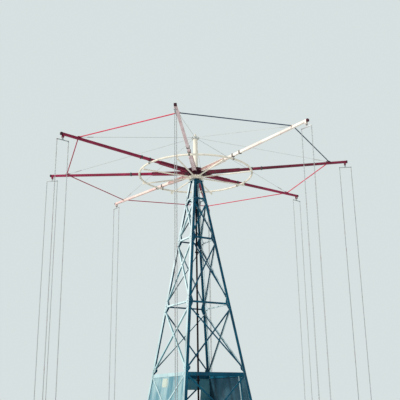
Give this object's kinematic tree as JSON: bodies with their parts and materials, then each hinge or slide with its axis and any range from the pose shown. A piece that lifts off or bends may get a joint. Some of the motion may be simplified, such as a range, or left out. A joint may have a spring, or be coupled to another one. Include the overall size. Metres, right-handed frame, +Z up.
{
  "type": "chair swing ride",
  "caption": "Chair swing ride: a tapering steel lattice tower carries a turning rotor of radial arms, from whose tips green chairs hang on long chains over the ground.",
  "frame": {"origin": "middle of the tower's square base at ground level, under the rotor's axis", "axes": "+Z up along the rotor's axis; the tower's four faces look along X and Y, the open face towards -Y"},
  "size_m": [12.807, 12.807, 12.62],
  "materials": {
    "tower_paint": "weathered teal-blue paint",
    "sheet_paint": "faded streaked pale blue paint",
    "maroon_paint": "dark maroon paint",
    "crimson_paint": "worn crimson paint",
    "rose_paint": "sun-faded rose paint",
    "cream_paint": "cream paint",
    "slate_paint": "dark grey-blue paint",
    "chain_steel": "galvanised steel",
    "seat_green": "green paint"
  },
  "bodies": {
    "tower": {"leg_1": "tower_paint", "leg_2": "tower_paint", "leg_3": "tower_paint", "leg_4": "tower_paint", "lattice_front": "tower_paint", "lattice_right": "tower_paint", "lattice_rear": "tower_paint", "lattice_left": "tower_paint", "bottom_bracing_front": "tower_paint", "bottom_bracing_right": "tower_paint", "bottom_bracing_rear": "tower_paint", "bottom_bracing_left": "tower_paint", "sheeting_right": "sheet_paint", "sheeting_rear": "sheet_paint", "sheeting_left": "sheet_paint", "entry_post": "tower_paint", "tower_head": "tower_paint", "foot_bearing": "tower_paint"},
    "rotor": {"drive_shaft": "maroon_paint", "rotor_drum": "cream_paint", "hub": "maroon_paint", "king_post": "cream_paint", "crown_stays": "slate_paint", "inner_ring": "cream_paint", "ring_spokes": "cream_paint", "arm_1": "crimson_paint", "arm_2": "crimson_paint", "arm_3": "rose_paint", "arm_4": "crimson_paint", "arm_5": "crimson_paint", "arm_6": "rose_paint", "arm_7": "rose_paint", "arm_8": "crimson_paint", "tie_rod_1": "crimson_paint", "tie_rod_2": "crimson_paint", "tie_rod_3": "crimson_paint", "tie_rod_4": "crimson_paint", "tie_rod_5": "crimson_paint", "tie_rod_6": "slate_paint", "tie_rod_7": "slate_paint", "tie_rod_8": "crimson_paint"},
    "chair_1": {"chair_chains_1": "chain_steel", "chair_seat_1": "seat_green"},
    "chair_2": {"chair_chains_2": "chain_steel", "chair_seat_2": "seat_green"},
    "chair_3": {"chair_chains_3": "chain_steel", "chair_seat_3": "seat_green"},
    "chair_4": {"chair_chains_4": "chain_steel", "chair_seat_4": "seat_green"},
    "chair_5": {"chair_chains_5": "chain_steel", "chair_seat_5": "seat_green"},
    "chair_6": {"chair_chains_6": "chain_steel", "chair_seat_6": "seat_green"},
    "chair_7": {"chair_chains_7": "chain_steel", "chair_seat_7": "seat_green"},
    "chair_8": {"chair_chains_8": "chain_steel", "chair_seat_8": "seat_green"}
  },
  "joints": [
    {"name": "rotor_spin", "type": "hinge", "parent": "tower", "child": "rotor", "pos_m": [0, 0, 10.56], "axis": [0, 0, 1], "continuous": true},
    {"name": "chair_swing_1", "type": "hinge", "parent": "rotor", "child": "chair_1", "pos_m": [6.1287, 0.869, 10.9], "axis": [0.1404, -0.9901, 0], "range_deg": [-10, 55]},
    {"name": "chair_swing_2", "type": "hinge", "parent": "rotor", "child": "chair_2", "pos_m": [3.7192, 4.9481, 10.9], "axis": [0.7994, -0.6008, 0], "range_deg": [-10, 55]},
    {"name": "chair_swing_3", "type": "hinge", "parent": "rotor", "child": "chair_3", "pos_m": [-0.869, 6.1287, 10.9], "axis": [0.9901, 0.1404, 0], "range_deg": [-10, 55]},
    {"name": "chair_swing_4", "type": "hinge", "parent": "rotor", "child": "chair_4", "pos_m": [-4.9481, 3.7192, 10.9], "axis": [0.6008, 0.7994, 0], "range_deg": [-10, 55]},
    {"name": "chair_swing_5", "type": "hinge", "parent": "rotor", "child": "chair_5", "pos_m": [-6.1287, -0.869, 10.9], "axis": [-0.1404, 0.9901, 0], "range_deg": [-10, 55]},
    {"name": "chair_swing_6", "type": "hinge", "parent": "rotor", "child": "chair_6", "pos_m": [-3.7192, -4.9481, 10.9], "axis": [-0.7994, 0.6008, 0], "range_deg": [-10, 55]},
    {"name": "chair_swing_7", "type": "hinge", "parent": "rotor", "child": "chair_7", "pos_m": [0.869, -6.1287, 10.9], "axis": [-0.9901, -0.1404, 0], "range_deg": [-10, 55]},
    {"name": "chair_swing_8", "type": "hinge", "parent": "rotor", "child": "chair_8", "pos_m": [4.9481, -3.7192, 10.9], "axis": [-0.6008, -0.7994, 0], "range_deg": [-10, 55]}
  ]
}
